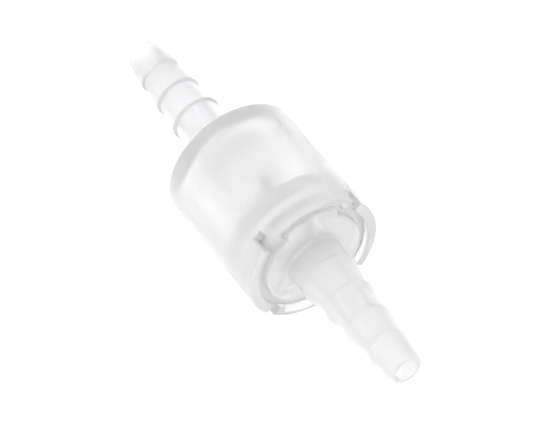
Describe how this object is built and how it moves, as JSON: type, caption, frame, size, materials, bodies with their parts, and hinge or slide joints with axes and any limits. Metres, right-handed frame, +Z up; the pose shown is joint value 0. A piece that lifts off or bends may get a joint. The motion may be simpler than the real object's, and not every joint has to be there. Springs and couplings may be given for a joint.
{
  "type": "check valve",
  "caption": "In-line hose check valve: snap-together barrel with a graduated hose barb at each end and a spring-loaded poppet inside.",
  "frame": {"origin": "middle of the valve on the flow axis", "axes": "+X along the flow from the inlet barb to the outlet barb, +Z up through the middle of the top snap finger as the valve lies on its barrel"},
  "size_m": [0.0764, 0.023, 0.023],
  "materials": {
    "natural_polypropylene": "translucent natural moulding",
    "cap_polypropylene": "translucent natural moulding",
    "poppet_polypropylene": "satin natural moulding",
    "silicone": "milky silicone rubber",
    "spring_steel": "drawn stainless wire"
  },
  "bodies": {
    "housing": {"inlet_body": "natural_polypropylene", "outlet_cap": "cap_polypropylene", "joint_seal": "silicone", "return_spring": "spring_steel"},
    "poppet": {"poppet": "poppet_polypropylene", "poppet_seal": "silicone"}
  },
  "joints": [
    {"name": "poppet_slide", "type": "slide", "parent": "housing", "child": "poppet", "axis": [1, 0, 0], "range_m": [0, 0.003], "stiffness_N_per_m": 140, "springref_m": -0.0012, "deforming": ["return_spring"]}
  ]
}
